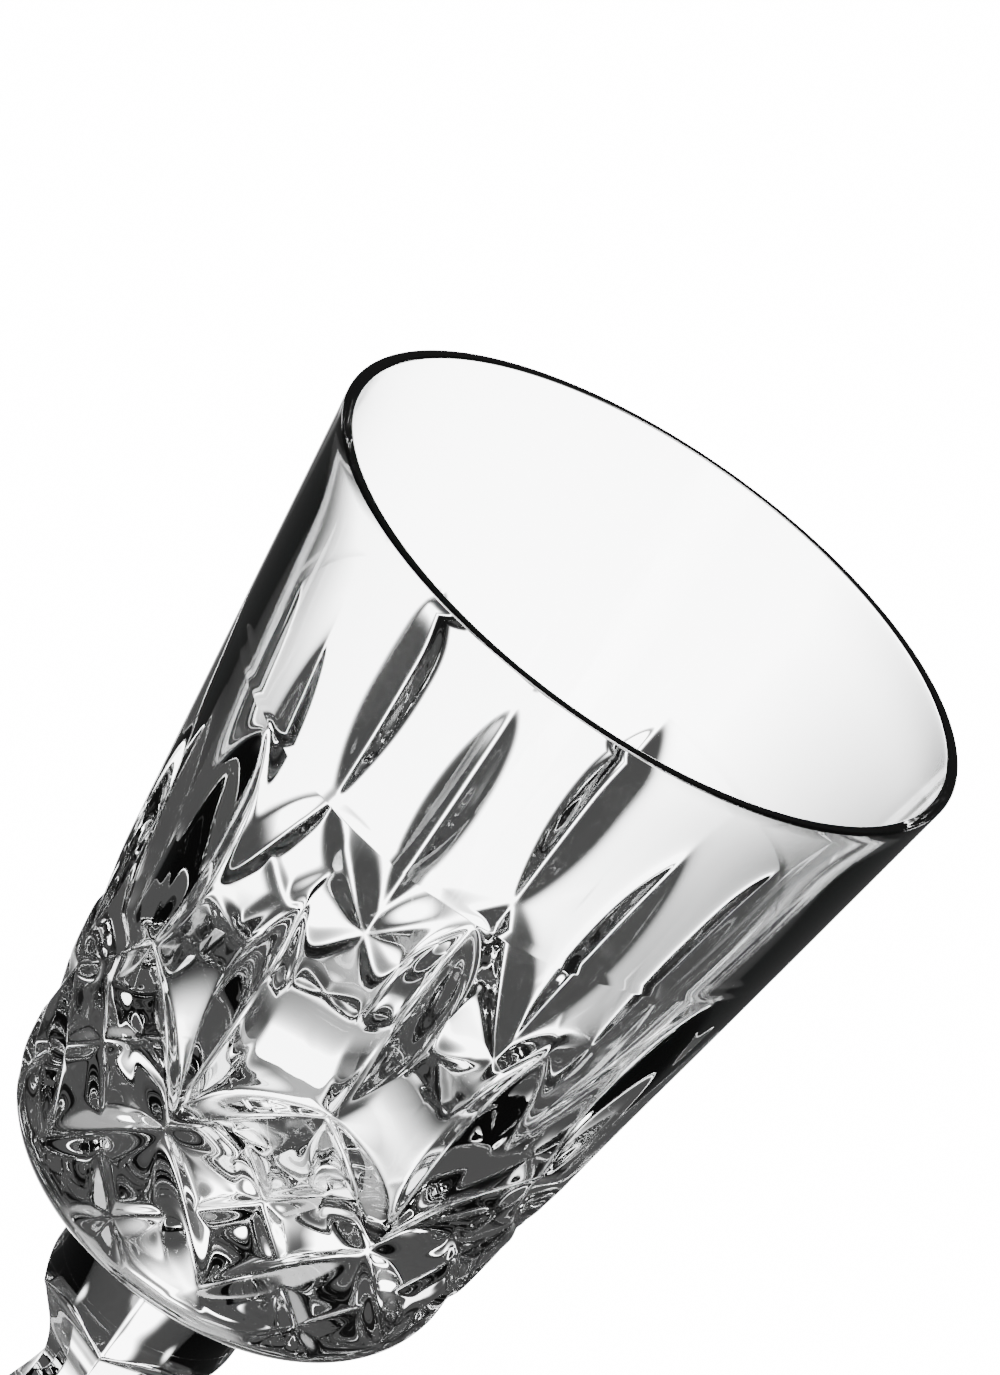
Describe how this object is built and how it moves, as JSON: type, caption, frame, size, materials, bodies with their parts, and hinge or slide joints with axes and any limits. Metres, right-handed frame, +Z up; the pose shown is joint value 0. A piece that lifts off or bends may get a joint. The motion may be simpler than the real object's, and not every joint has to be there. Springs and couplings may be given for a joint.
{
  "type": "wine glass",
  "caption": "Cut crystal wine glass with a bucket bowl, a band of wedge and diamond cuts, a round collar, a faceted stem and a round foot.",
  "frame": {"origin": "centre of the foot's underside, on the glass's axis, in the plane it stands on", "axes": "+Z up along the glass's axis; a tall wedge cut and a stem edge both face 15 degrees round from +X towards +Y, and the upright plane through them is a mirror plane"},
  "size_m": [0.0759, 0.076, 0.183],
  "materials": {
    "bowl_crystal": "polished, clear",
    "stem_crystal": "polished, clear",
    "foot_crystal": "polished, clear"
  },
  "bodies": {
    "root": {"bowl": "bowl_crystal", "collar": "stem_crystal", "stem": "stem_crystal", "foot": "foot_crystal"}
  },
  "joints": []
}
